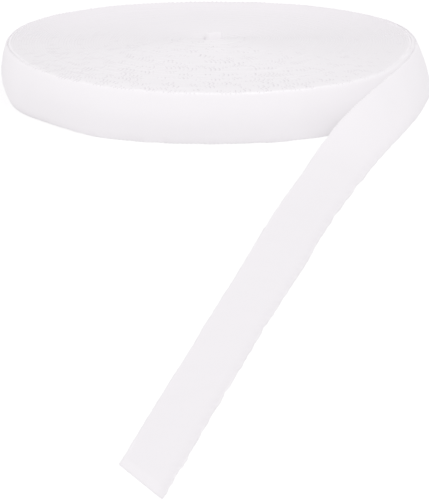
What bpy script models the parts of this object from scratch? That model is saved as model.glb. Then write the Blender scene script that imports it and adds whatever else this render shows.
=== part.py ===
"""A flat roll of velvet ribbon lying on its side, with its loose end laid out in front of it.

There are two solids: the wound roll, and the loose end that carries on from its outermost turn.
Lengths are in metres, and +Z is up. Both are shaped round the axis of the winding, where "across" is
+X and "forward" is -Y, the way that the loose end runs. An empty then carries them to the origin, which
is on the surface that they lie on, under the middle of the whole.
"""
import math
from collections import namedtuple

import bmesh
import bpy
from mathutils import Vector

# The ribbon: its width and thickness, the pitch of its turns, and the gaps that part the two solids
RIBBON_WIDTH = 0.0254
RIBBON_THICKNESS = 0.0010
TURN_PITCH = 0.00132
PIECE_GAP = 0.0003
SEAT_GAP = 0.0007

# The wound roll: its turns rise a little towards the middle, and its rim bows outwards
ROLL_RADIUS = 0.100
CROWN = 0.0040
FLAT_FROM = 0.086
EDGE_ROUND = 0.0005
RIM_BOW = 0.0028
RIM_TUCK = 0.0036
TURN_END_AT = math.radians(50.0)

# The oval eye where the winding starts
EYE_HALF_LENGTH = 0.0058
EYE_HALF_WIDTH = 0.0021
EYE_TURNED = math.radians(8.0)

# Where the soft winding is out of round: degrees from +X, how far out, and the spread in degrees
Unround = namedtuple("Unround", "at out spread")
OUT_OF_ROUND = (
    Unround(at=-15.0, out=-0.0058, spread=34.0),
    Unround(at=44.0, out=0.0010, spread=24.0),
    Unround(at=142.0, out=0.0024, spread=27.0),
)

# Where the outermost turn comes away from the roll, its lower edge flares out first
FLARE = 0.0070
FLARE_FROM = math.radians(46.0)
FLARE_FULL = math.radians(10.0)
WRAP_ENDS_AT = math.radians(4.0)
WRAP_ROWS = 8

# The loose end beyond the roll: its lower edge on the surface, and how steeply the ribbon banks.
# At 90 degrees it stands on edge, and at 0 it lies flat.
Lay = namedtuple("Lay", "forward across bank")
LAID_OUT = (
    Lay(forward=0.0177, across=0.0998, bank=75.0),
    Lay(forward=0.0376, across=0.0966, bank=71.0),
    Lay(forward=0.0544, across=0.0930, bank=67.0),
    Lay(forward=0.0755, across=0.0881, bank=60.0),
    Lay(forward=0.0997, across=0.0825, bank=48.0),
    Lay(forward=0.1239, across=0.0770, bank=34.0),
    Lay(forward=0.1482, across=0.0716, bank=22.0),
    Lay(forward=0.1822, across=0.0647, bank=13.5),
    Lay(forward=0.2213, across=0.0569, bank=10.0),
    Lay(forward=0.2588, across=0.0504, bank=9.0),
    Lay(forward=0.3195, across=0.0406, bank=6.5),
    Lay(forward=0.3687, across=0.0326, bank=4.0),
    Lay(forward=0.4300, across=0.0221, bank=1.5),
    Lay(forward=0.4891, across=0.0129, bank=0.0),
    Lay(forward=0.5652, across=0.0007, bank=0.0),
    Lay(forward=0.6390, across=-0.0105, bank=0.0),
    Lay(forward=0.7005, across=-0.0201, bank=0.0),
)
CUT_SLANT = 0.048
CUT_SECTIONS = 12

# Fineness of the meshes
ROLL_COLUMNS = 120
FACE_RINGS = 8
RING_CROWDING = 1.3
RIM_POINTS = 7
ROUTE_POINTS_PER_ROW = 24
STRIP_SECTIONS = 96
STRIP_CELLS = 4

TURN = 2.0 * math.pi
UP = Vector((0.0, 0.0, 1.0))


def eased(share):
    """Ease a share from 0 to 1, with level ends."""
    share = min(max(share, 0.0), 1.0)
    return share * share * (3.0 - 2.0 * share)


def polar(radius, angle, height):
    """A point from its distance to the roll's axis, its angle from +X and its height."""
    return Vector((radius * math.cos(angle), radius * math.sin(angle), height))


def white_velvet(name):
    """Off-white velvet with a faint cool tint and no shine."""
    material = bpy.data.materials.new(name)
    material.use_nodes = True
    shader = material.node_tree.nodes["Principled BSDF"]
    shader.inputs["Base Color"].default_value = (0.86, 0.85, 0.87, 1.0)
    shader.inputs["Roughness"].default_value = 0.9
    shader.inputs["Metallic"].default_value = 0.0
    return material


def finished_object(name, shape):
    """Turn a bmesh of closed faces into a named object with its own material."""
    bmesh.ops.recalc_face_normals(shape, faces=shape.faces)
    bmesh.ops.triangulate(shape, faces=shape.faces)
    mesh = bpy.data.meshes.new(name)
    shape.to_mesh(mesh)
    shape.free()
    mesh.shade_smooth()
    mesh.set_sharp_from_angle(angle=math.radians(40.0))
    mesh.materials.append(white_velvet("white_velvet_" + name))
    piece = bpy.data.objects.new(name, mesh)
    bpy.context.scene.collection.objects.link(piece)
    return piece


def wound_radius(angle):
    """Radius of the outermost turn's top edge: nearly a circle, drawn in where the ribbon leaves."""
    radius = ROLL_RADIUS
    for place in OUT_OF_ROUND:
        away = math.remainder(angle - math.radians(place.at), TURN) / math.radians(place.spread)
        radius += place.out * math.exp(-away * away)
    return radius


def turn_inset(turned):
    """How far the surface lies under the outermost turn, after turning on from that turn's end."""
    return TURN_PITCH * (1.0 - turned / TURN)


def crown_height(radius):
    """Lift of the turns at a radius: none in the outer ring, which lies flat."""
    inside = radius / FLAT_FROM
    if inside >= 1.0:
        return 0.0
    return CROWN * (1.0 - inside * inside) ** 1.5


def eye_radius(angle):
    """Radius of the oval eye at an angle."""
    turned = angle - EYE_TURNED
    return 1.0 / math.hypot(math.cos(turned) / EYE_HALF_LENGTH, math.sin(turned) / EYE_HALF_WIDTH)


def face_point(ring, angle, base):
    """A point on the roll's upper or lower face, from ring 0 at the eye to the last near the rim.

    The last two rings bound the outer part that lies flat.
    """
    if ring == FACE_RINGS:
        radius = wound_radius(angle) - TURN_PITCH - RIM_TUCK - 2.0 * EDGE_ROUND
    else:
        share = (ring / (FACE_RINGS - 1)) ** RING_CROWDING
        radius = eye_radius(angle) * (1.0 - share) + FLAT_FROM * share
    return polar(radius, angle, base + crown_height(radius))


def rim_profile():
    """Offsets (out, up) down the rim from its top corner: rounded edges and an outward bow."""
    profile = [(-EDGE_ROUND, RIBBON_WIDTH)]
    for point in range(RIM_POINTS):
        down = point / (RIM_POINTS - 1)
        out = RIM_BOW * math.sin(math.pi * down) - RIM_TUCK * down
        profile.append((out, RIBBON_WIDTH - EDGE_ROUND - down * (RIBBON_WIDTH - 2.0 * EDGE_ROUND)))
    profile.append((-RIM_TUCK - EDGE_ROUND, 0.0))
    return profile


def roll_columns(shape, profile):
    """Rows of vertices (upper face, rim, lower face) once round the roll, from the turn's end.

    The last column stands at the same angle as the first and shares its faces' vertices, but its
    rim lies one turn further out.
    """
    columns = []
    for column in range(ROLL_COLUMNS + 1):
        turned = TURN * column / ROLL_COLUMNS
        angle = TURN_END_AT - turned
        radius = wound_radius(angle) - turn_inset(turned)
        if column < ROLL_COLUMNS:
            rings = range(FACE_RINGS + 1)
            upper = [shape.verts.new(face_point(ring, angle, RIBBON_WIDTH)) for ring in rings]
            lower = [shape.verts.new(face_point(ring, angle, 0.0)) for ring in reversed(rings)]
        else:
            upper, _, lower = columns[0]
        rim = [shape.verts.new(polar(radius + out, angle, up)) for out, up in profile]
        columns.append((upper, rim, lower))
    return columns


def build_roll():
    """The wound roll: crowned faces, an open eye, a bowed rim and the step of the last turn's end."""
    shape = bmesh.new()
    profile = rim_profile()
    columns = roll_columns(shape, profile)
    first_rim, last_rim = columns[0][1], columns[-1][1]
    # Beside the step, the faces that meet the rim also take in the corner of the turn below
    shared_corners = {FACE_RINGS: first_rim[0], FACE_RINGS + len(profile): first_rim[-1]}
    for here, after in zip(columns, columns[1:]):
        here_loop = [vertex for row in here for vertex in row]
        after_loop = [vertex for row in after for vertex in row]
        for place, vertex in enumerate(here_loop):
            follow = (place + 1) % len(here_loop)
            corners = [vertex, here_loop[follow], after_loop[follow], after_loop[place]]
            if after is columns[-1] and place in shared_corners:
                corners.insert(3, shared_corners[place])
            shape.faces.new(corners)
    for place in range(len(profile) - 1):
        shape.faces.new((first_rim[place], first_rim[place + 1], last_rim[place + 1], last_rim[place]))
    return finished_object("roll", shape)


def wrapped_rows():
    """Rows of the loose end where its upper edge still lies against the roll."""
    rows = []
    for row in range(WRAP_ROWS):
        angle = TURN_END_AT - (TURN_END_AT - WRAP_ENDS_AT) * row / (WRAP_ROWS - 1)
        flared = eased((FLARE_FROM - angle) / (FLARE_FROM - FLARE_FULL))
        stands_out = FLARE * flared - RIM_TUCK * (1.0 - flared)
        roll_radius = wound_radius(angle) - turn_inset(TURN_END_AT - angle)
        foot = polar(roll_radius + SEAT_GAP + RIBBON_THICKNESS / 2.0 + stands_out, angle, 0.0)
        bank = 90.0 - math.degrees(math.asin(stands_out / RIBBON_WIDTH))
        rows.append(Lay(forward=-foot.y, across=foot.x, bank=bank))
    return rows


def curve_between(before, start, end, after, share):
    """A point on the smooth curve from start to end that also heeds the rows on either side."""
    return 0.5 * (
        2.0 * start
        + (end - before) * share
        + (2.0 * before - 5.0 * start + 4.0 * end - after) * share ** 2
        + (3.0 * start - before - 3.0 * end + after) * share ** 3
    )


def loose_end_route():
    """Lower edge (x, y) and bank in degrees of the loose end, at even steps of its length."""
    rows = [Vector((lay.across, -lay.forward, lay.bank)) for lay in (*wrapped_rows(), *LAID_OUT)]
    rows = [2.0 * rows[0] - rows[1], *rows, 2.0 * rows[-1] - rows[-2]]
    fine = []
    for start in range(1, len(rows) - 2):
        for point in range(ROUTE_POINTS_PER_ROW):
            fine.append(curve_between(*rows[start - 1:start + 3], point / ROUTE_POINTS_PER_ROW))
    fine.append(rows[-2])
    lengths = [0.0]
    for here, after in zip(fine, fine[1:]):
        lengths.append(lengths[-1] + (after - here).xy.length)
    route = []
    point = 0
    for section in range(STRIP_SECTIONS + 1):
        wanted = lengths[-1] * section / STRIP_SECTIONS
        while point < len(fine) - 2 and lengths[point + 1] < wanted:
            point += 1
        share = (wanted - lengths[point]) / (lengths[point + 1] - lengths[point])
        route.append(fine[point].lerp(fine[point + 1], share))
    return route


def strip_section(shape, place, heading, forward_shift, slant):
    """Vertices of one section of the loose end, from its lower edge to its upper edge and back.

    The section is slid along the heading by forward_shift, and by slant less at its upper edge.
    """
    inward = Vector((heading.y, -heading.x, 0.0))
    bank = math.radians(max(place.z, 0.0))
    across = inward * math.cos(bank) + UP * math.sin(bank)
    outward = UP * math.cos(bank) - inward * math.sin(bank)
    lift = RIBBON_THICKNESS / 2.0 * abs(math.cos(bank))
    foot = Vector((place.x, place.y, lift)) + heading * forward_shift
    upper, under = [], []
    for cell in range(STRIP_CELLS + 1):
        share = cell / STRIP_CELLS
        bow = RIM_BOW * math.sin(bank) ** 4 * math.sin(math.pi * share)
        middle = foot + across * (RIBBON_WIDTH * share) + outward * bow - heading * (slant * share)
        upper.append(shape.verts.new(middle + outward * (RIBBON_THICKNESS / 2.0)))
        under.append(shape.verts.new(middle - outward * (RIBBON_THICKNESS / 2.0)))
    return upper + under[::-1]


def build_loose_end():
    """The loose end: a strip that leaves the roll on edge, banks over and lies flat to its cut."""
    shape = bmesh.new()
    route = loose_end_route()
    sections = []
    for number, place in enumerate(route):
        before = route[max(number - 1, 0)]
        after = route[min(number + 1, STRIP_SECTIONS)]
        heading = (after - before).xy.normalized().to_3d()
        forward_shift = PIECE_GAP if number == 0 else 0.0
        towards_cut = eased((number - STRIP_SECTIONS + CUT_SECTIONS) / CUT_SECTIONS)
        sections.append(strip_section(shape, place, heading, forward_shift, CUT_SLANT * towards_cut))
    for here, after in zip(sections, sections[1:]):
        for place, vertex in enumerate(here):
            follow = (place + 1) % len(here)
            shape.faces.new((vertex, here[follow], after[follow], after[place]))
    for end in (sections[0], sections[-1]):
        opposite = end[::-1]
        for cell in range(STRIP_CELLS):
            shape.faces.new((end[cell], end[cell + 1], opposite[cell + 1], opposite[cell]))
    return finished_object("loose_end", shape)


def set_down_centred(pieces):
    """Hang the pieces on an empty that brings the bottom centre of their common box to the origin."""
    corners = [Vector(vertex.co) for piece in pieces for vertex in piece.data.vertices]
    low = Vector([min(corner[axis] for corner in corners) for axis in range(3)])
    high = Vector([max(corner[axis] for corner in corners) for axis in range(3)])
    middle = bpy.data.objects.new("middle_of_the_whole", None)
    middle.location = (-(low.x + high.x) / 2.0, -(low.y + high.y) / 2.0, -low.z)
    bpy.context.scene.collection.objects.link(middle)
    for piece in pieces:
        piece.parent = middle


def main():
    """Clear the scene and build both pieces."""
    for leftover in list(bpy.data.objects):
        bpy.data.objects.remove(leftover, do_unlink=True)
    set_down_centred([build_roll(), build_loose_end()])


main()
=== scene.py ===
"""Looks of a flat roll of white velvet ribbon lying on its side, with its loose end laid out.

The ribbon is one long strip. It starts at the eye of the winding, runs outwards, clockwise seen from
above, leaves the roll at the right and ends in a slanted cut. A place along it is a station, and each
piece sweeps the ribbon's cut section through a stretch of stations. Lengths are in metres. Places round
the roll are in degrees from its right, anticlockwise seen from above, so 270 is its front.
"""

import logging
import math
from dataclasses import dataclass, fields
from enum import Enum
from typing import NamedTuple

import bpy
import numpy as np
from bpy.types import Material, Mesh, Node, NodeTree, Object
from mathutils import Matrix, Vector


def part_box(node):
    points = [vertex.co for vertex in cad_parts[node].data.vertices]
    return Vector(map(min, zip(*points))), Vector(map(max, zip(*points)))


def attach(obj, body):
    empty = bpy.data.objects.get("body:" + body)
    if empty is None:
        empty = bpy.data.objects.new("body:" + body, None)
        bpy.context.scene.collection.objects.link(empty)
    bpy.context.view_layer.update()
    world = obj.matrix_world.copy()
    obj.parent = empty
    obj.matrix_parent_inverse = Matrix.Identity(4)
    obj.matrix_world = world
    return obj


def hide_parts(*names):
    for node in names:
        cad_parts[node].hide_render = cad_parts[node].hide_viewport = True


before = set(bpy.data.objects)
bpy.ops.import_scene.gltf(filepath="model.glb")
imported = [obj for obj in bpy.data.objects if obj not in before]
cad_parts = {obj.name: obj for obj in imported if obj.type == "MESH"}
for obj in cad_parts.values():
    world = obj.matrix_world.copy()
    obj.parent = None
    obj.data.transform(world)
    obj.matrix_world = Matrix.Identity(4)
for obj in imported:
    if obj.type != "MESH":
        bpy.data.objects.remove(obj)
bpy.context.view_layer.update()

LOG = logging.getLogger("velvet_ribbon")
BODY = "root"
MM = 0.001
TURN = 2.0 * math.pi
QUARTER = math.pi / 2.0
TINY = 1e-9
UP = np.array((0.0, 0.0, 1.0))
# What a vector is multiplied with to lose its height
LEVEL = (1.0, 1.0, 0.0)

# The weft loops along the ribbon's edges, drawn three times as far apart as real ones of 0.7 mm
WEFT_LOOPS = 2.07 * MM
# How light the border is painted, a painted highlight at the winding's front and painted shade at its sides
# and back: fully shaded, lit at most in the winding, and along the loose end
BORDER_SHADED = -0.5
BORDER_LIT_WOUND = 0.5
BORDER_LIT_FREE = 1.0


class Skin(Enum):
    """What a stretch of the ribbon's surface is made of. The values order a piece's material slots."""

    GROUND = 0
    SELVEDGE = 1
    PILE = 2


class Fineness(Enum):
    """How finely a stretch of ribbon is drawn."""

    BURIED = "buried"
    SHOWN = "shown"


class Band(NamedTuple):
    """A band of values."""

    low: float
    high: float

    def mapped(self, low: float = 0.0, high: float = 1.0) -> dict[str, float]:
        """Settings of a MapRange node that turns this band into another one."""
        return {"From Min": self.low, "From Max": self.high, "To Min": low, "To Max": high}


class Unevenness(NamedTuple):
    """Random wandering: about how far apart its highs and lows are, and its standard deviation."""

    reach: float
    spread: float


class Bump(NamedTuple):
    """A smooth bump round the winding: its middle and spread in degrees, and its height."""

    at: float
    out: float
    spread: float
    power: float = 2.0

    def felt_at(self, angle: np.ndarray) -> np.ndarray:
        """Its height at angles in radians, flatter on top at a higher power."""
        away = np.remainder(angle - math.radians(self.at) + math.pi, TURN) - math.pi
        return self.out * np.exp(-np.abs(away / math.radians(self.spread)) ** self.power)


class Lay(NamedTuple):
    """A row of the loose end: where its lower edge lies, and its bank, 90 on edge and 0 flat."""

    forward: float
    across: float
    bank: float


class Shoulder(NamedTuple):
    """A point of the cut section near one edge: from that edge, and out from the middle layer."""

    from_edge: float
    outward: float


class Softbox(NamedTuple):
    """A far softbox: its share of a full light, its elevation, and its azimuth from the camera's side."""

    name: str
    share: float
    elevation: float
    round_by: float


def eased(share: np.ndarray | float) -> np.ndarray | float:
    """Ease a share from 0 to 1, with level ends."""
    share = np.clip(share, 0.0, 1.0)
    return share * share * (3.0 - 2.0 * share)


def linear(srgb_hex: str) -> tuple[float, float, float, float]:
    """Turn an sRGB hex colour into linear red, green, blue and alpha.

    Args:
        srgb_hex: The colour as "#RRGGBB".

    Returns:
        Its linear values, with alpha 1.
    """
    values = [int(srgb_hex[place:place + 2], 16) / 255.0 for place in (1, 3, 5)]
    red, green, blue = (v / 12.92 if v <= 0.04045 else ((v + 0.055) / 1.055) ** 2.4 for v in values)
    return red, green, blue, 1.0


def wander(places: np.ndarray, by: Unevenness, draw: np.random.Generator) -> np.ndarray:
    """Smooth random wandering round 0: random steps, smoothed with a bell of eleven of them.

    Args:
        places: Where it is wanted.
        by: How far it wanders.
        draw: The seeded source of the values.

    Returns:
        One value for each place.
    """
    step = by.reach / 6.0
    grid = np.arange(places.min() - by.reach, places.max() + by.reach, step)
    kernel = np.exp(-np.linspace(-2.5, 2.5, 11) ** 2)
    values = np.convolve(draw.normal(0.0, by.spread, len(grid)), kernel, "same") / np.linalg.norm(kernel)
    return np.interp(places, grid, values)


def level_ways(steps: np.ndarray) -> tuple[np.ndarray, np.ndarray]:
    """Level unit vectors along the ribbon and across it.

    Args:
        steps: Vectors along the ribbon, one row each.

    Returns:
        The headings, and the ways across, which point to the winding's axis.
    """
    heading = steps * LEVEL
    heading /= np.linalg.norm(heading, axis=1)[:, None]
    return heading, np.stack((heading[:, 1], -heading[:, 0], np.zeros(len(heading))), axis=1)


def tube_faces(rings: int, around: int, first: int = 0) -> list[list[int]]:
    """Faces of a closed tube.

    Args:
        rings: How many rings of points it has.
        around: How many points a ring has.
        first: The number of its first point.

    Returns:
        The numbers of each face's points: the quads between the rings, and then the two caps.
    """
    here = first + np.arange(rings - 1)[:, None] * around
    place = np.arange(around)[None, :]
    follow = (place + 1) % around
    quads = np.stack((here + place, here + follow, here + around + follow, here + around + place), axis=2)
    start = list(range(first, first + around))
    last = (rings - 1) * around
    return quads.reshape(-1, 4).tolist() + [start[::-1], [last + point for point in start]]


def new_mesh(name: str, points: list, faces: list, dress: list[Material]) -> Mesh:
    """Make a smooth-shaded mesh.

    Args:
        name: Its name.
        points: Its points, in the row frame.
        faces: The numbers of each face's points.
        dress: Its materials, in the order of its slots.

    Returns:
        The mesh.
    """
    mesh = bpy.data.meshes.new(name)
    mesh.from_pydata(points, [], faces)
    for material in dress:
        mesh.materials.append(material)
    mesh.shade_smooth()
    return mesh


def placed(mesh: Mesh, replaced: str | None = None) -> Object:
    """Put a mesh in the scene as a piece that rides on the body.

    Args:
        mesh: The piece's mesh, which has its name.
        replaced: The CAD node that the piece stands for, if any.

    Returns:
        The piece.
    """
    piece = bpy.data.objects.new(mesh.name, mesh)
    bpy.context.scene.collection.objects.link(piece)
    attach(piece, BODY)
    if replaced:
        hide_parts(replaced)
    return piece


def add_node(tree: NodeTree, kind: str, settings: dict | None = None,
             links: dict | None = None) -> Node:
    """Add one node to a tree.

    Args:
        tree: The node tree.
        kind: The node's type name, less the ShaderNode that they all start with.
        settings: Values by the name of a property, or the name or number of an input socket.
        links: Output sockets, or nodes for their first one, by the name or number of the input that
            each goes to.

    Returns:
        The new node.
    """
    node = tree.nodes.new("ShaderNode" + kind)
    for name, value in (settings or {}).items():
        if isinstance(name, str) and hasattr(node, name):
            setattr(node, name, value)
        else:
            node.inputs[name].default_value = value
    for name, source in (links or {}).items():
        output = source.outputs[0] if isinstance(source, Node) else source
        tree.links.new(output, node.inputs[name])
    return node


def new_material(name: str) -> tuple[Material, NodeTree]:
    """Make an empty node material with its output.

    Args:
        name: Its name.

    Returns:
        The material and its node tree.
    """
    material = bpy.data.materials.new(name)
    material.use_nodes = True
    material.node_tree.nodes.clear()
    add_node(material.node_tree, "OutputMaterial")
    return material, material.node_tree


def show(tree: NodeTree, shader: Node) -> None:
    """Link a shader to its tree's output."""
    output = next(node for node in tree.nodes if node.type == "OUTPUT_MATERIAL")
    tree.links.new(shader.outputs[0], output.inputs["Surface"])


@dataclass(frozen=True)
class CutPile:
    """Short cut nylon pile. Its tips scatter light, so it is soft and matt, with a faint bloom at rims."""

    name: str = "cut_nylon_velvet_pile"
    # The tips have the pile's own colour; the darker hollows between the tufts are painted shade
    tip: str = "#F8F5F8"
    painted_hollow_shade: str = "#F4F1F4"
    # Tufts, drawn about four times as far apart as real ones
    tuft: float = 0.7 * MM
    tuft_relief: float = 0.15 * MM
    bump_strength: float = 0.35
    # The lay of the nap drifts over this length, and has this share in the mix of tip colour and painted
    # hollow shade
    nap: float = 16.0 * MM
    nap_share: float = 0.45
    shade_band: Band = Band(0.3, 0.65)
    # Painted shade along the lower edge, broken into random patches
    thin: str = "#EAE6EA"
    edge_shade_width: float = 5.2 * MM
    edge_shade_share: float = 0.8
    edge_shade_patch: float = 5.0 * MM
    edge_shade_patch_band: Band = Band(0.35, 0.6)
    edge_shade_patch_share: Band = Band(0.3, 1.1)
    roughness: float = 0.92
    added_roughness: float = 0.06
    gloss: float = 0.15
    sheen: float = 0.18
    sheen_roughness: float = 0.45

    def material(self) -> Material:
        """Build the pile from its tufts and its nap, with painted shade in the hollows between the tufts and
        along the lower edge.

        Returns:
            The material.
        """
        material, tree = new_material(self.name)
        place = add_node(tree, "TexCoord").outputs["Object"]
        tufts = add_node(tree, "TexNoise", {"Scale": 1.0 / self.tuft, "Detail": 3.0, "Roughness": 0.6},
                         {"Vector": place})
        lay = add_node(tree, "TexNoise", {"Scale": 1.0 / self.nap, "Detail": 2.0}, {"Vector": place})
        depth = add_node(tree, "Math", {"operation": "MULTIPLY", 1: 1.0 - self.nap_share}, {0: tufts})
        depth = add_node(tree, "Math", {"operation": "MULTIPLY_ADD", 1: self.nap_share},
                         {0: lay, 2: depth})
        share = add_node(tree, "MapRange", self.shade_band.mapped(), {"Value": depth})
        # Tip colour on the tufts, painted shade in the hollows between them
        body = add_node(tree, "Mix",
                        {"data_type": "RGBA", 6: linear(self.painted_hollow_shade), 7: linear(self.tip)}, {0: share})
        ribbon = add_node(tree, "Attribute", {"attribute_name": "ribbon"})
        axes = add_node(tree, "SeparateXYZ", links={0: ribbon.outputs["Vector"]})
        # Painted shade along the lower edge, broken into random patches
        border = add_node(tree, "MapRange",
                          {"interpolation_type": "SMOOTHSTEP", "From Min": self.edge_shade_width / MM,
                           "From Max": 0.0, "To Max": self.edge_shade_share}, {"Value": axes.outputs["X"]})
        edge_shade_patch = add_node(tree, "TexNoise", {"Scale": 1.0 / self.edge_shade_patch, "Detail": 2.0}, {"Vector": place})
        patchy_edge_shade = add_node(tree, "MapRange", self.edge_shade_patch_band.mapped(*self.edge_shade_patch_share), {"Value": edge_shade_patch})
        border = add_node(tree, "Math", {"operation": "MULTIPLY"}, {0: border, 1: patchy_edge_shade})
        colour = add_node(tree, "Mix", {"data_type": "RGBA", 7: linear(self.thin)},
                          {0: border, 6: body.outputs[2]})
        rough = add_node(tree, "MapRange",
                         {"To Min": self.roughness + self.added_roughness, "To Max": self.roughness},
                         {"Value": lay})
        bump = add_node(tree, "Bump",
                        {"Strength": self.bump_strength, "Distance": self.tuft_relief}, {"Height": tufts})
        shader = add_node(tree, "BsdfPrincipled",
                          {"Sheen Weight": self.sheen, "Sheen Roughness": self.sheen_roughness,
                           "Specular IOR Level": self.gloss},
                          {"Base Color": colour.outputs[2], "Roughness": rough, "Normal": bump})
        show(tree, shader)
        return material


@dataclass(frozen=True)
class WovenCloth:
    """Woven nylon. Its crossing threads give a fine even grain with painted shade between them, and a slight
    silky gloss.
    """

    name: str
    # The threads' own colour, and the painted shade between them
    raised: str
    shade_between_threads: str
    warp_pitch: float
    weft_pitch: float
    roughness: float
    relief: float
    gloss: float
    # How far a pick shows as one rib over the warp: 0 in a plain weave
    rib: float
    # The height that has the full colour, and what is left of it in the border's painted shade
    full_at: float = 1.0
    painted_shade_level: float = 1.0
    # The threads slip by some pitches over this length
    slip: float = 12.0 * MM
    slipped_by: float = 1.5
    # The weave shows in patches, which are more where the border is painted lit
    patch: float = 5.0 * MM
    patch_lift: float = 0.2
    patch_band: Band = Band(0.52, 0.66)
    added_roughness: float = 0.15
    bump_strength: float = 0.5

    def material(self) -> Material:
        """Build the weave from two waves, in millimetres along and across the ribbon, and loosen it.

        Returns:
            The material.
        """
        material, tree = new_material(self.name)
        ribbon = add_node(tree, "Attribute", {"attribute_name": "ribbon"})
        axes = add_node(tree, "SeparateXYZ", links={0: ribbon.outputs["Vector"]})
        place = add_node(tree, "TexCoord").outputs["Object"]
        slip = add_node(tree, "TexNoise", {"Scale": 1.0 / self.slip, "Detail": 1.0}, {"Vector": place})
        patch = add_node(tree, "TexNoise", {"Scale": 1.0 / self.patch, "Detail": 2.0}, {"Vector": place})
        clear = add_node(tree, "Math", {"operation": "MULTIPLY_ADD", 1: self.patch_lift},
                         {0: axes.outputs["Z"], 2: patch})
        clear = add_node(tree, "MapRange", self.patch_band.mapped(), {"Value": clear})
        waves = []
        for axis, pitch in (("X", self.warp_pitch), ("Y", self.weft_pitch)):
            turned = add_node(tree, "Math", {"operation": "MULTIPLY", 1: TURN * MM / pitch},
                              {0: axes.outputs[axis]})
            turned = add_node(tree, "Math", {"operation": "MULTIPLY_ADD", 1: self.slipped_by * TURN},
                              {0: slip, 2: turned})
            waves.append(add_node(tree, "Math", {"operation": "SINE"}, {0: turned}))
        crossing = add_node(tree, "Math", {"operation": "MULTIPLY"}, {0: waves[0], 1: waves[1]})
        picks = add_node(tree, "Mix", {"data_type": "FLOAT", 0: self.rib}, {2: crossing, 3: waves[1]})
        picks = add_node(tree, "Math", {"operation": "MULTIPLY"}, {0: picks, 1: clear})
        height = add_node(tree, "MapRange", {"From Min": -1.0}, {"Value": picks})
        # Painted highlight and painted shade on the border: full colour where it is painted lit, dimmer at
        # the winding's sides and back
        painted_light_level = add_node(tree, "MapRange",
                             {"From Min": BORDER_SHADED, "From Max": BORDER_LIT_WOUND, "To Min": self.painted_shade_level},
                             {"Value": axes.outputs["Z"]})
        share = add_node(tree, "MapRange", {"From Max": self.full_at},
                         {"Value": height, "To Max": painted_light_level})
        # Painted shade between the threads
        colour = add_node(tree, "Mix",
                          {"data_type": "RGBA", 6: linear(self.shade_between_threads), 7: linear(self.raised)}, {0: share})
        rough = add_node(tree, "MapRange",
                         {"To Min": self.roughness + self.added_roughness, "To Max": self.roughness},
                         {"Value": height})
        bump = add_node(tree, "Bump", {"Strength": self.bump_strength, "Distance": self.relief},
                        {"Height": height})
        shader = add_node(tree, "BsdfPrincipled", {"Specular IOR Level": self.gloss},
                          {"Base Color": colour.outputs[2], "Roughness": rough, "Normal": bump})
        show(tree, shader)
        return material


@dataclass(frozen=True)
class FloorSheet:
    """A smooth plain sheet of the stage, without gloss, that may glow."""

    name: str
    shade: str
    roughness: float
    glow: float

    def material(self) -> Material:
        """Build its even tone and its glow.

        Returns:
            The material.
        """
        material, tree = new_material(self.name)
        show(tree, add_node(tree, "BsdfPrincipled",
                            {"Base Color": linear(self.shade), "Roughness": self.roughness,
                             "Specular IOR Level": 0.0, "Emission Color": linear("#FFFFFF"),
                             "Emission Strength": self.glow}))
        return material


# The back of the ribbon: a fine even grain with faint painted shade between its threads, which are drawn
# twice as coarse as real ones of 0.25 mm
GROUND_CLOTH = WovenCloth(name="plain_woven_nylon_ground", raised="#ECE8EC", shade_between_threads="#E2DDE2",
                          warp_pitch=0.5 * MM, weft_pitch=0.6 * MM, roughness=0.6, relief=0.08 * MM,
                          gloss=0.3, rib=0.0)
# The border at each edge: glossy pale loops with painted shade between them, dimmed by painted shade at the
# winding's sides and back
SELVEDGE_CLOTH = WovenCloth(name="tight_woven_nylon_selvedge", raised="#FFFDFF", shade_between_threads="#C5BCC5",
                            warp_pitch=0.4 * MM, weft_pitch=WEFT_LOOPS, roughness=0.30, relief=0.25 * MM,
                            gloss=1.0, rib=0.8, full_at=0.4, painted_shade_level=0.86)
# Acrylic lit from behind: an even white ground, on which only the deepest shade shows
ACRYLIC_SHEET = FloorSheet(name="white_acrylic_floor", shade="#BCBCBC", roughness=0.9, glow=0.75)
# Matt paper: it throws soft light up at the rim and the foot of the roll
PAPER_SHEET = FloorSheet(name="matt_paper_bounce", shade="#DADADA", roughness=1.0, glow=0.0)


@dataclass
class Stations:
    """Places along the ribbon, one row each, from the eye towards the cut."""

    # The lower edge, and the bank of the width above it in radians, a quarter turn on edge and 0 flat
    foot: np.ndarray
    bank: np.ndarray
    # How far the middle of the width bows out, and how much the pile is fuller than the thickness
    bow: np.ndarray
    puff: np.ndarray
    # How far the pile is pressed out to both edges, from 0 to 1
    pressed: np.ndarray
    # How far the other edge stays behind the lower one
    lag: np.ndarray
    # How light the border is painted: painted highlight and painted shade by place
    relief: np.ndarray

    def along(self) -> np.ndarray:
        """Running length of the lower edge at each station."""
        steps = np.linalg.norm(np.diff(self.foot, axis=0), axis=1)
        return np.concatenate(((0.0,), np.cumsum(steps)))

    def part(self, kept: slice | np.ndarray) -> "Stations":
        """The stations of a stretch, or those with these numbers."""
        return Stations(*(getattr(self, f.name)[kept] for f in fields(self)))

    def followed_by(self, after: "Stations") -> "Stations":
        """These stations with others after them, of which the first is the last of these."""
        return Stations(*(np.concatenate((getattr(self, f.name), getattr(after, f.name)[1:]))
                          for f in fields(self)))

    def ways_at_end(self) -> tuple[np.ndarray, np.ndarray]:
        """Level unit vectors along and across the ribbon at the last station."""
        heading, over = level_ways(np.diff(self.foot[-2:], axis=0))
        return heading[0], over[0]


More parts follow.
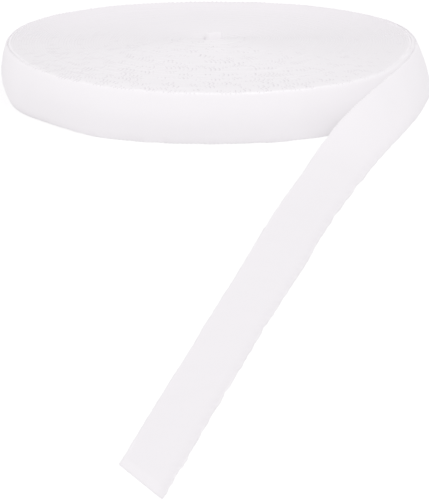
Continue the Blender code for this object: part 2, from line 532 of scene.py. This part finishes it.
@dataclass
class VelvetRibbon:
    """The ribbon as it comes off the loom: a woven ground, a pile-free border and the pile."""

    # Its materials, in the order of Skin
    dress: list[Material]
    width: float = 25.4 * MM
    thickness: float = 1.0 * MM
    selvedge: float = 0.46 * MM
    # Below the middle layer, as shares of the thickness: where the ground starts, and where pressing ends
    ground_below: float = 0.3
    pressed_above: float = 0.2
    # Points of the section between its shoulders
    pile_points: int = 5
    ground_points: int = 4
    # How far the weft loops stand out past the edge, and how they drift along it and differ in size
    loop_reach: float = 0.16 * MM
    loop_drift: Unevenness = Unevenness(reach=14.0 * MM, spread=0.5)
    loop_size: Unevenness = Unevenness(reach=5.0 * MM, spread=0.3)
    # Grooves that the loops draw in the pile, which reach this far in from the edge
    tuft_groove: float = 0.20 * MM
    tuft_height: float = 2.4 * MM
    # Both edges wander a little, and sway where the ribbon is free, the lower one more than the other
    edge_wander: Unevenness = Unevenness(reach=3.0 * MM, spread=0.05 * MM)
    edge_sway: Unevenness = Unevenness(reach=12.0 * MM, spread=0.20 * MM)
    other_edge_sway: Unevenness = Unevenness(reach=12.0 * MM, spread=0.07 * MM)
    crease: float = math.radians(70.0)
    seed: int = 7

    def pile_side(self, fineness: Fineness) -> list[Shoulder]:
        """The pile side of the section near an edge.

        Where the ribbon is buried in the winding, its pile is pressed up to the edge and fills the turn.

        Args:
            fineness: How finely it is drawn.

        Returns:
            Its points, from the edge inwards.
        """
        top = self.thickness / 2.0
        if fineness is Fineness.BURIED:
            return [
                Shoulder(0.0, 0.30 * top),
                Shoulder(0.02 * MM, 0.60 * top),
                Shoulder(0.06 * MM, 0.82 * top),
                Shoulder(0.12 * MM, 0.93 * top),
                Shoulder(0.22 * MM, 0.98 * top),
                Shoulder(0.42 * MM, top),
            ]
        return [
            Shoulder(0.0, -0.30 * top),
            Shoulder(0.06 * MM, -0.05 * top),
            Shoulder(0.20 * MM, 0.24 * top),
            Shoulder(0.42 * MM, 0.58 * top),
            Shoulder(0.80 * MM, 0.84 * top),
            Shoulder(1.40 * MM, 0.96 * top),
            Shoulder(2.30 * MM, top),
        ]

    def ground_side(self) -> list[Shoulder]:
        """The ground side of the section near an edge.

        Returns:
            Its points, from the edge inwards.
        """
        top = self.thickness / 2.0
        return [
            Shoulder(0.02 * MM, -0.68 * top),
            Shoulder(0.08 * MM, -0.90 * top),
            Shoulder(0.20 * MM, -0.98 * top),
            Shoulder(0.60 * MM, -top),
        ]

    def section(self, fineness: Fineness) -> tuple[np.ndarray, np.ndarray, list[Skin]]:
        """The cut section, once round: over the pile from the lower edge, and back along the ground.

        Args:
            fineness: How finely it is drawn.

        Returns:
            The points' distances from the lower edge, their distances out from the middle layer, and
            the skin from each point to the next.
        """
        pile, ground = self.pile_side(fineness), self.ground_side()
        sides = []
        for shoulders, inner_points in ((pile, self.pile_points), (ground, self.ground_points)):
            side = [tuple(point) for point in shoulders]
            if fineness is Fineness.SHOWN:
                inset, level = side[-1]
                side += [(place, level) for place in
                         np.linspace(inset, self.width - inset, inner_points + 2)[1:-1]]
            side += [(self.width - point.from_edge, point.outward) for point in reversed(shoulders)]
            sides.append(side)
        across, outward = np.array(sides[0] + sides[1][::-1]).T
        skins = []
        for here in range(len(across)):
            after = (here + 1) % len(across)
            middle = ((across[here] + across[after]) / 2.0, (outward[here] + outward[after]) / 2.0)
            skins.append(self.skin_at(*middle))
        return across, outward, skins

    def skin_at(self, across: float, outward: float) -> Skin:
        """What the surface is made of at a point of the section.

        Args:
            across: How far it is from the lower edge.
            outward: How far out it is from the middle layer.

        Returns:
            The skin there.
        """
        if outward < -self.ground_below * self.thickness:
            return Skin.GROUND
        return Skin.SELVEDGE if min(across, self.width - across) < self.selvedge else Skin.PILE

    def swept(self, at: Stations, fineness: Fineness) -> tuple[np.ndarray, np.ndarray, list[Skin]]:
        """Sweep the section through stations.

        Args:
            at: The stations.
            fineness: How finely the section is drawn.

        Returns:
            The surface's points, stations by section points by 3, each one's millimetres across and along
            the ribbon with how light its border is painted, and the skins of the section.
        """
        across, outward, skins = self.section(fineness)
        along = at.along()
        heading, inward = level_ways(np.gradient(at.foot, along, axis=0))
        lean, rise = np.cos(at.bank)[:, None], np.sin(at.bank)[:, None]
        over = inward * lean + UP * rise
        out = UP * lean - inward * rise
        width = np.broadcast_to(across, (len(along), len(across))).copy()
        depth = np.broadcast_to(outward, width.shape).copy()
        flush = np.array(self.pile_side(Fineness.BURIED)).T
        filled = np.interp(np.minimum(across, self.width - across), *flush) - outward
        filled = np.where(outward > -self.pressed_above * self.thickness, filled, 0.0)
        depth += at.pressed[:, None] * filled
        if fineness is Fineness.SHOWN:
            self.work_edges(width, depth, along, 1.0 - at.pressed)
        depth += at.puff[:, None] * np.clip(outward / (self.thickness / 2.0), 0.0, 1.0)
        share = width / self.width
        bowed = depth + at.bow[:, None] * np.sin(math.pi * share)
        points = at.foot[:, None, :] + over[:, None, :] * width[..., None]
        points += out[:, None, :] * bowed[..., None]
        points -= heading[:, None, :] * (at.lag[:, None] * share)[..., None]
        points[..., 2] = np.maximum(points[..., 2], 0.0)
        cloth = np.stack((width / MM, *(np.broadcast_to(row[:, None], width.shape)
                                        for row in (along / MM, at.relief))), axis=2)
        return points, cloth, skins

    def work_edges(self, width: np.ndarray, depth: np.ndarray, along: np.ndarray, free: np.ndarray) -> None:
        """Give both edges their weft loops and, where the ribbon is free, the pile its grooves, in place.

        Args:
            width: How far each point of the surface is from the lower edge.
            depth: How far out each is from the middle layer.
            along: The running length at each station.
            free: How free the ribbon is at each, from 0 to 1.
        """
        draw = np.random.default_rng(self.seed)
        phase = TURN * along / WEFT_LOOPS + wander(along, self.loop_drift, draw)
        for edge, side, sway in ((0.0, -1.0, self.edge_sway), (self.width, 1.0, self.other_edge_sway)):
            from_edge = np.abs(edge - width)
            tied = 1.0 - eased(from_edge / (2.0 * self.selvedge))
            reach = self.loop_reach * np.cos(phase) * (1.0 + wander(along, self.loop_size, draw))
            reach += wander(along, self.edge_wander, draw)
            reach += free * wander(along, sway, draw)
            width += side * tied * reach[:, None]
            beside = 1.0 - eased(from_edge / self.tuft_height)
            groove = self.tuft_groove * free * (0.5 - 0.5 * np.cos(phase))
            depth -= np.where(depth > 0.0, beside * groove[:, None], 0.0)

    def piece(self, name: str, at: Stations, fineness: Fineness, replaced: str,
              kept: slice = slice(None)) -> Object:
        """Build one closed piece of ribbon, dress it and put it in the frame.

        Args:
            name: The piece's name.
            at: Its stations.
            fineness: How finely its section is drawn.
            replaced: The CAD node that it stands for.
            kept: The stretch of the stations that the piece has, where the ribbon runs on past it.

        Returns:
            The piece.
        """
        points, cloth, skins = self.swept(at, fineness)
        points, cloth = points[kept], cloth[kept]
        stations, around, _ = points.shape
        mesh = new_mesh(name, points.reshape(-1, 3).tolist(), tube_faces(stations, around), self.dress)
        slots = [skin.value for skin in skins] * (stations - 1) + [Skin.GROUND.value] * 2
        mesh.polygons.foreach_set("material_index", slots)
        mesh.set_sharp_from_angle(angle=self.crease)
        ribbon = mesh.attributes.new("ribbon", "FLOAT_VECTOR", "POINT")
        ribbon.data.foreach_set("vector", cloth.reshape(-1))
        return placed(mesh, replaced)


@dataclass
class WoundRoll:
    """The wound turns, counted from the loose end's start (turn 0) in to the eye."""

    ribbon: VelvetRibbon
    radius: float = 100.0 * MM
    turns: float = 72.26
    turn_pitch: float = 1.32 * MM
    # The top rises towards the middle, inside a flat outer ring
    crown: float = 4.0 * MM
    crown_power: float = 1.5
    flat_from: float = 86.0 * MM
    # The rim bows out in the middle and leans in at its top edge
    bow: float = 2.8 * MM
    tuck: float = 3.6 * MM
    # The loose end starts here, and comes away from the turn under it over a share of a turn
    end_at: float = math.radians(50.0)
    seat_gap: float = 0.7 * MM
    lifts_over: float = 0.3
    eye_half_length: float = 5.8 * MM
    eye_half_width: float = 2.1 * MM
    eye_turned: float = math.radians(8.0)
    # The soft winding is out of round as a whole, at its top edges and at its lower edges
    out_of_round: tuple[Bump, ...] = (
        Bump(at=-12.0, out=-5.8 * MM, spread=24.0),
        Bump(at=42.0, out=2.5 * MM, spread=25.0),
        Bump(at=142.0, out=4.4 * MM, spread=24.0),
        Bump(at=64.0, out=1.3 * MM, spread=12.0),
        Bump(at=116.0, out=1.8 * MM, spread=13.0),
    )
    leans_in: Bump = Bump(at=204.0, out=3.1 * MM, spread=24.0)
    foot_out: tuple[Bump, ...] = (
        Bump(at=190.0, out=0.8 * MM, spread=14.0),
        Bump(at=214.0, out=-1.9 * MM, spread=12.0),
        Bump(at=240.0, out=1.4 * MM, spread=14.0),
    )
    # Here the outermost turn stands off the next ones, which close up again over this many turns
    loose_place: Bump = Bump(at=192.0, out=0.8 * MM, spread=15.0)
    loose_turns: float = 5.0
    # The front turns stand higher, after the first few
    stepped_up: Bump = Bump(at=258.0, out=2.0 * MM, spread=50.0)
    steps_over: float = 8.0
    # The border is painted lighter in front, a painted highlight, and this much less near the eye
    front_painted_light: Bump = Bump(at=256.0, out=BORDER_LIT_WOUND - BORDER_SHADED, spread=82.0, power=4.0)
    painted_light_eye_fade: float = 0.4
    # The pile is pressed under the next turn, and fills the gap between them, at first a wider one
    pressed_from: float = 0.75
    pressed_over: float = 0.1
    pile_puff: float = 0.34 * MM
    seat_puff: float = 0.30 * MM
    seat_puff_to: float = 1.05
    seat_puff_over: float = 0.3
    # The top edges are uneven, but for the start, which runs on as the loose end
    unevenness: Unevenness = Unevenness(reach=60.0 * MM, spread=0.05 * MM)
    fine_unevenness: Unevenness = Unevenness(reach=9.0 * MM, spread=0.02 * MM)
    even_over: float = 0.15
    # Loose turns round the eye part in groups of heart_period turns
    heart_turns: float = 13.0
    heart_period: float = 3.3
    heart_slack: float = 0.42 * MM
    heart_swell: float = 0.68
    heart_over: float = 3.0
    # The inner end stands up in the eye, folded back on itself
    tip_rise: float = 2.7 * MM
    tip_from: float = 0.14
    tip_over: float = 0.1
    fold_length: float = 8.6 * MM
    fold_half_gap: float = 0.65 * MM
    fold_points: int = 7
    # The outermost turns are drawn more finely than those that are buried
    steps_a_turn: int = 96
    outer_turns: float = 36.0
    shown_turns: float = 2.0
    shown_step: float = 0.46 * MM
    seed: int = 11

    def wound_radius(self, angle: np.ndarray) -> np.ndarray:
        """Radius of the outermost turn's top edge, drawn in where the ribbon leaves.

        Args:
            angle: Angles in radians.

        Returns:
            The radius at each.
        """
        radius = np.full_like(angle, self.radius)
        for place in self.out_of_round:
            radius += place.felt_at(angle)
        return radius

    def eye_radius(self, angle: np.ndarray) -> np.ndarray:
        """Radius of the oval eye at angles in radians."""
        turned = angle - self.eye_turned
        return 1.0 / np.hypot(np.cos(turned) / self.eye_half_length, np.sin(turned) / self.eye_half_width)

    def crown_height(self, radius: np.ndarray) -> np.ndarray:
        """Lift of the turns at a radius: none in the outer ring, which lies flat."""
        inside = np.clip(radius / self.flat_from, 0.0, 1.0)
        return self.crown * (1.0 - inside * inside) ** self.crown_power

    def heart_spacing(self, turn: np.ndarray) -> np.ndarray:
        """Extra radius of the loose turns near the eye, which part in groups of a few turns.

        Args:
            turn: Turn numbers.

        Returns:
            The extra radius at each.
        """
        phase = (turn - self.turns) / self.heart_period
        share = phase - np.floor(phase)
        rising = eased(share / self.heart_swell)
        falling = 1.0 - eased((share - self.heart_swell) / (1.0 - self.heart_swell))
        loose = eased((turn - self.turns + self.heart_turns) / self.heart_over)
        return self.heart_slack * loose * (np.where(share < self.heart_swell, rising, falling) - 0.5)

    def stations(self) -> tuple[Stations, np.ndarray]:
        """All stations of the wound turns.

        Returns:
            The stations, and the turn number of each.
        """
        coarse = np.arange(self.turns, self.shown_turns, -1.0 / self.steps_a_turn)
        fine_steps = int(self.shown_turns * TURN * self.radius / self.shown_step)
        turn = np.concatenate((coarse, np.linspace(self.shown_turns, 0.0, fine_steps + 1)))
        draw = np.random.default_rng(self.seed)
        angle = self.end_at + TURN * turn
        share = turn / self.turns
        outer = 1.0 - share
        half = self.ribbon.thickness / 2.0

        radius = (self.wound_radius(angle) - half) * outer + (self.eye_radius(angle) + half) * share
        lifting = 1.0 - eased(turn / self.lifts_over)
        radius += (self.seat_gap + self.ribbon.thickness - self.turn_pitch) * lifting
        loosened = np.where(turn > 1.0, np.exp((1.0 - turn) / self.loose_turns), 0.0)
        radius -= self.loose_place.felt_at(angle) * loosened
        radius += self.heart_spacing(turn)
        leaning = self.leans_in.felt_at(angle) * outer ** 2
        radius -= leaning
        foot_out = sum(place.felt_at(angle) for place in self.foot_out)
        stands_out = leaning + (foot_out - self.tuck) * outer ** 2
        bank = QUARTER - np.arcsin(stands_out / self.ribbon.width)

        run = np.cumsum(np.abs(np.gradient(turn)) * TURN * radius)
        uneven = wander(run, self.unevenness, draw)
        uneven += wander(run, self.fine_unevenness, draw)
        stepped = self.stepped_up.felt_at(angle) * (1.0 - np.exp(-turn / self.steps_over)) * outer
        height = self.crown_height(radius) + eased(turn / self.even_over) * np.abs(uneven) + stepped
        height += half * np.abs(np.cos(bank))
        height += self.tip_rise * eased((turn - self.turns + self.tip_from) / self.tip_over)

        reach = radius + stands_out
        foot = np.stack((reach * np.cos(angle), reach * np.sin(angle), height), axis=1)
        bow = self.bow * outer ** 3 * np.sin(bank) ** 4 + leaning / 2.0
        pressed = eased((turn - self.pressed_from) / self.pressed_over)
        wider = 1.0 - eased((turn - self.seat_puff_to) / self.seat_puff_over)
        puff = pressed * (self.pile_puff + self.seat_puff * wider)
        # How light the border is painted: a painted highlight at the winding's front, less near the eye, and
        # painted shade at its sides and back
        relief = (1.0 - self.painted_light_eye_fade * share) * self.front_painted_light.felt_at(angle) + BORDER_SHADED
        wound = Stations(foot, bank, bow, puff, pressed, np.zeros_like(turn), relief)
        return self.with_folded_end(wound, turn)

    def with_folded_end(self, wound: Stations, turn: np.ndarray) -> tuple[Stations, np.ndarray]:
        """Put the start of the ribbon, folded back on itself inside the eye, before the wound stations.

        Args:
            wound: The wound stations.
            turn: The turn number of each.

        Returns:
            The longer row of stations, and the turn number of each.
        """
        first = int(np.searchsorted(wound.along(), self.fold_length))
        heading, inward = level_ways(np.gradient(wound.foot[:first], axis=0))
        apart = self.fold_half_gap
        layer = (wound.foot[:first] * LEVEL + 2.0 * apart * inward)[::-1]
        round_by = np.linspace(0.0, math.pi, self.fold_points + 2)[1:-1, None]
        bend = apart * (inward[0] * (1.0 + np.cos(round_by)) - heading[0] * np.sin(round_by))
        foot = np.concatenate((layer, wound.foot[0] * LEVEL + bend)) + UP * wound.foot[0, 2]
        folded = wound.part(np.zeros(len(foot) + 1, dtype=int))
        folded.foot[:-1] = foot
        return folded.followed_by(wound), np.concatenate((np.full(len(foot), self.turns), turn))

    def shown_count(self, turn: np.ndarray) -> int:
        """How many of the stations with these turn numbers belong to the outermost turns."""
        return int(np.count_nonzero(turn <= self.shown_turns + TINY))

    def build(self, at: Stations, turn: np.ndarray, shown: Stations) -> list[Object]:
        """Build the turns in ring bands, each one piece.

        Args:
            at: The stations of the wound turns, already in the row frame.
            turn: The turn number of each.
            shown: The stations of the outermost turns and of the loose end after them.

        Returns:
            The pieces, from the eye outwards.
        """
        inner = self.turns - self.heart_turns
        bands = (
            ("turns_at_the_eye", self.turns, inner),
            ("turns_inner", inner, self.outer_turns),
            ("turns_outer", self.outer_turns, self.shown_turns),
        )
        pieces = []
        for name, start, end in bands:
            reaches = end - 1.0 / self.steps_a_turn - TINY
            inside = np.flatnonzero((turn <= start + TINY) & (turn >= reaches))
            stretch = at.part(slice(inside[0], inside[-1] + 1))
            pieces.append(self.ribbon.piece(name, stretch, Fineness.BURIED, "roll"))
        wound = slice(0, self.shown_count(turn))
        pieces.append(self.ribbon.piece("turns_outermost", shown, Fineness.SHOWN, "roll", wound))
        return pieces


@dataclass
class CutThreads:
    """The short warp ends that stick out of the raw cut."""

    ribbon: VelvetRibbon
    count: int = 50
    width: float = 0.16 * MM
    taper: float = 0.5
    # They start inside the cloth, and some reach this far out of it
    rooted: float = 1.0 * MM
    reach: float = 0.8 * MM
    least_reach: float = 0.05
    margin: float = 0.02
    level: Band = Band(0.2 * MM, 0.4 * MM)
    splay: float = 0.12
    droop: float = 0.08 * MM
    rings: tuple[float, ...] = (0.0, 0.6, 1.0)
    corners: int = 4
    seed: int = 23

    def build(self, at: Stations) -> Object:
        """Build all the threads, from the yarn of the ground.

        Args:
            at: The loose end's stations.

        Returns:
            The piece with all of them.
        """
        draw = np.random.default_rng(self.seed)
        heading, over = at.ways_at_end()
        points, faces = [], []
        for place in np.linspace(self.margin, 1.0 - self.margin, self.count):
            root = at.foot[-1] + over * (self.ribbon.width * place)
            root -= heading * (at.lag[-1] * place + self.rooted)
            root = root * LEVEL + UP * draw.uniform(*self.level)
            way = heading + over * draw.normal(0.0, self.splay)
            reach = self.rooted + self.reach * draw.uniform(self.least_reach, 1.0) ** 2
            faces += tube_faces(len(self.rings), self.corners, len(points))
            for share in self.rings:
                middle = root + way * (reach * share) - UP * (self.droop * share * share)
                thin = self.width / 2.0 * (1.0 - self.taper * share)
                for corner in range(self.corners):
                    turned = TURN * corner / self.corners
                    points.append(middle + over * (thin * math.cos(turned)) - UP * (thin * math.sin(turned)))
        yarn = self.ribbon.dress[Skin.GROUND.value]
        return placed(new_mesh("cut_threads", np.array(points).tolist(), faces, [yarn]))


@dataclass
class LooseEnd:
    """The loose end: it leaves the roll on edge, banks over and lies flat to its slanted cut."""

    ribbon: VelvetRibbon
    roll: WoundRoll
    # Its lower edge flares out while its upper edge still follows the roll
    flare: float = 7.0 * MM
    flare_from: float = math.radians(46.0)
    flare_full: float = math.radians(10.0)
    wrap_ends_at: float = math.radians(4.0)
    wrap_rows: int = 8
    bow_ends_at: float = math.radians(60.0)
    # Over this length the border's painted shade from the winding gives way to full painted light
    painted_light_rise_over: float = 60.0 * MM
    # How it lies past the roll: forward and across from the winding's axis, and its bank
    laid_out: tuple[Lay, ...] = (
        Lay(0.0177, 0.0998, 75.0),
        Lay(0.0376, 0.0966, 71.0),
        Lay(0.0544, 0.0930, 67.0),
        Lay(0.0755, 0.0881, 60.0),
        Lay(0.0997, 0.0825, 48.0),
        Lay(0.1239, 0.0770, 34.0),
        Lay(0.1482, 0.0716, 22.0),
        Lay(0.1822, 0.0647, 13.5),
        Lay(0.2213, 0.0569, 10.0),
        Lay(0.2588, 0.0504, 9.0),
        Lay(0.3195, 0.0406, 6.5),
        Lay(0.3687, 0.0326, 4.0),
        Lay(0.4300, 0.0221, 1.5),
        Lay(0.4891, 0.0129, 0.0),
        Lay(0.5652, 0.0007, 0.0),
        Lay(0.6390, -0.0105, 0.0),
        Lay(0.7005, -0.0201, 0.0),
    )
    curve_steps: int = 40
    # The cut slants, over the last share of the loose end, and the pile is thinner beside it
    cut_slant: float = 48.0 * MM
    cut_share: float = 0.125
    cut_thinning: float = 0.74 * MM
    thinned_from_cut: float = 14.0 * MM

    def wrapped_rows(self) -> list[Lay]:
        """Rows where the upper edge still lies against the roll.

        Returns:
            The rows, with one before them to lead in.
        """
        rows = []
        spacing = (self.roll.end_at - self.wrap_ends_at) / (self.wrap_rows - 1)
        for angle in np.linspace(self.roll.end_at + spacing, self.wrap_ends_at, self.wrap_rows + 1):
            flared = eased((self.flare_from - angle) / (self.flare_from - self.flare_full))
            stands_out = self.flare * flared - self.roll.tuck * (1.0 - flared)
            inset = self.roll.turn_pitch * (1.0 - (self.roll.end_at - angle) / TURN)
            radius = float(self.roll.wound_radius(np.array([angle]))[0]) - inset
            foot = radius + self.roll.seat_gap + self.ribbon.thickness / 2.0 + stands_out
            bank = 90.0 - math.degrees(math.asin(stands_out / self.ribbon.width))
            rows.append(Lay(forward=-foot * math.sin(angle), across=foot * math.cos(angle), bank=bank))
        return rows

    def route(self) -> np.ndarray:
        """The lower edge's way, on a smooth curve through the rows.

        Returns:
            Its distance across and back, and the bank in radians, at even steps.
        """
        rows = np.array([(lay.across, -lay.forward, math.radians(lay.bank))
                         for lay in (*self.wrapped_rows(), *self.laid_out)])
        rows = np.concatenate((rows, [2.0 * rows[-1] - rows[-2]]))
        share = np.linspace(0.0, 1.0, self.curve_steps, endpoint=False)[:, None]
        fine = []
        for before, start, end, after in zip(rows, rows[1:], rows[2:], rows[3:]):
            fine.append(0.5 * (2.0 * start + (end - before) * share
                               + (2.0 * before - 5.0 * start + 4.0 * end - after) * share ** 2
                               + (3.0 * start - before - 3.0 * end + after) * share ** 3))
        fine = np.concatenate((*fine, rows[-2:-1]))
        run = np.concatenate(((0.0,), np.cumsum(np.linalg.norm(np.diff(fine[:, :2], axis=0), axis=1))))
        wanted = np.linspace(0.0, run[-1], round(run[-1] / self.roll.shown_step) + 1)
        return np.stack([np.interp(wanted, run, fine[:, column]) for column in range(3)], axis=1)

    def stations(self) -> Stations:
        """All stations of the loose end.

        Returns:
            The stations, from the roll to the cut.
        """
        route = self.route()
        bank = np.maximum(route[:, 2], 0.0)
        lift = self.ribbon.thickness / 2.0 * np.abs(np.cos(bank))
        foot = np.column_stack((route[:, :2], lift))
        upright = eased((bank - self.bow_ends_at) / (QUARTER - self.bow_ends_at))
        bow = self.roll.bow * np.sin(bank) ** 4 * upright
        towards_cut = eased((np.linspace(0.0, 1.0, len(bank)) - 1.0 + self.cut_share) / self.cut_share)
        run = np.arange(len(bank)) * self.roll.shown_step
        thinned = -self.cut_thinning * eased((run - run[-1] + self.thinned_from_cut) / self.thinned_from_cut)
        # The border's painted light rises along the loose end
        relief = (BORDER_LIT_FREE - BORDER_SHADED) * eased(run / self.painted_light_rise_over) + BORDER_SHADED
        return Stations(foot, bank, bow, thinned, np.zeros_like(bank), self.cut_slant * towards_cut, relief)

    def winding_axis(self, at: Stations) -> np.ndarray:
        """Where the winding's axis stands in the row frame.

        Args:
            at: The loose end's stations, round the axis of the winding.

        Returns:
            The shift that brings the corner of the slanted cut to the low corner of the frame's loose end.
        """
        low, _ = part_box("loose_end")
        heading, over = at.ways_at_end()
        far = at.foot[-1] + over * self.ribbon.width - heading * at.lag[-1]
        return np.array((low.x - far[0], low.y - at.foot[-1][1], 0.0))

    def build(self, at: Stations, shown: Stations) -> list[Object]:
        """Args:
            at: Its stations, in the row frame.
            shown: The stations of the outermost turns and of the loose end after them.

        Returns:
            The loose end and its threads.
        """
        own = slice(len(shown.bank) - len(at.bank), None)
        piece = self.ribbon.piece("laid_loose_end", shown, Fineness.SHOWN, "loose_end", own)
        threads = CutThreads(self.ribbon).build(at)
        return [piece, threads]


@dataclass
class Studio:
    """The plain pale floor, the soft light and the camera."""

    floor_size: float = 14.0
    bounce_below: float = 1.0 * MM
    sky: float = 0.15
    softboxes: tuple[Softbox, ...] = (
        Softbox(name="key_softbox", share=0.67, elevation=50.0, round_by=30.0),
        Softbox(name="left_fill", share=0.38, elevation=12.0, round_by=-90.0),
        Softbox(name="front_fill", share=0.08, elevation=28.0, round_by=-5.0),
    )
    softness: float = math.radians(40.0)
    # All light has a trace of pink, and the tones are bleached as in the photograph
    tint: tuple[float, float, float] = (1.0, 0.946, 1.006)
    tone_gamma: float = 3.0
    # The photograph's width and its long lens, in pixels, and where it was taken from
    image_width: int = 429
    lens_pixels: float = 8446.0
    principal_left: float = 1.0
    sensor: float = 36.0
    distance: float = 4.018
    elevation: float = math.radians(12.760)
    pitch: float = math.radians(14.1406)
    clip: Band = Band(0.1, 60.0)

    def plane(self, name: str, height: float, finish: FloorSheet) -> Object:
        """Add a square level plane as part of the stage.

        Args:
            name: Its name.
            height: How high it lies.
            finish: What it is made of.

        Returns:
            The plane.
        """
        half = self.floor_size / 2.0
        corners = [(-half, -half, height), (half, -half, height), (half, half, height), (-half, half, height)]
        mesh = new_mesh(name, corners, [(0, 1, 2, 3)], [finish.material()])
        plane = bpy.data.objects.new(name, mesh)
        bpy.context.scene.collection.objects.link(plane)
        return plane

    def floor(self) -> None:
        """Lay the white floor that only the camera sees, and under it the paper that bounces the light."""
        top = self.plane("floor", 0.0, ACRYLIC_SHEET)
        top.visible_diffuse = top.visible_glossy = top.visible_transmission = top.visible_shadow = False
        under = self.plane("floor_bounce", -self.bounce_below, PAPER_SHEET)
        under.visible_camera = False

    def light(self) -> None:
        """Set the even sky and the far softboxes."""
        world = bpy.data.worlds.new("soft_studio")
        world.use_nodes = True
        background = world.node_tree.nodes["Background"]
        background.inputs["Color"].default_value = (*self.tint, 1.0)
        background.inputs["Strength"].default_value = self.sky
        bpy.context.scene.world = world
        for box in self.softboxes:
            lamp = bpy.data.lights.new(box.name, "SUN")
            lamp.angle = self.softness
            lamp.energy = box.share * math.pi
            lamp.color = self.tint
            holder = bpy.data.objects.new(box.name, lamp)
            holder.rotation_euler = (math.radians(90.0 - box.elevation), 0.0, math.radians(box.round_by))
            bpy.context.scene.collection.objects.link(holder)

    def camera(self, target: Vector) -> None:
        """Place the long-lens camera at the photograph's viewing angle.

        Args:
            target: The middle of the roll's flat top, in the row frame.
        """
        data = bpy.data.cameras.new("camera")
        data.sensor_fit = "HORIZONTAL"
        data.sensor_width = self.sensor
        data.lens = self.lens_pixels * self.sensor / self.image_width
        data.clip_start, data.clip_end = self.clip
        camera = bpy.data.objects.new("camera", data)
        aside = self.principal_left * self.distance / self.lens_pixels
        back = Vector((0.0, -math.cos(self.elevation), math.sin(self.elevation)))
        camera.location = target + back * self.distance + Vector((aside, 0.0, 0.0))
        camera.rotation_euler = (QUARTER - self.pitch, 0.0, 0.0)
        bpy.context.scene.collection.objects.link(camera)
        bpy.context.scene.camera = camera

    def build(self, target: Vector) -> None:
        """Set up the whole studio, with the photograph's soft tones.

        Args:
            target: The middle of the roll's flat top, in the row frame.
        """
        self.floor()
        self.light()
        self.camera(target)
        bpy.context.scene.view_settings.view_transform = "Standard"
        bpy.context.scene.view_settings.gamma = self.tone_gamma


def main() -> None:
    """Build the ribbon from the eye to the cut, then the studio, and log the winding's axis and each piece's
    face count.
    """
    logging.basicConfig(level=logging.INFO, format="%(message)s")
    ribbon = VelvetRibbon([GROUND_CLOTH.material(), SELVEDGE_CLOTH.material(), CutPile().material()])
    roll = WoundRoll(ribbon)
    loose = LooseEnd(ribbon, roll)
    wound, turn = roll.stations()
    laid = loose.stations()
    axis = loose.winding_axis(laid)
    LOG.info("winding axis at %s", axis.round(5))
    wound.foot += axis
    laid.foot += axis
    shown = wound.part(slice(-roll.shown_count(turn), None)).followed_by(laid)
    for piece in (*roll.build(wound, turn, shown), *loose.build(laid, shown)):
        LOG.info("built %s with %d faces", piece.name, len(piece.data.polygons))
    Studio().build(Vector(axis) + Vector((0.0, 0.0, ribbon.width)))


if __name__ == "__main__":
    main()
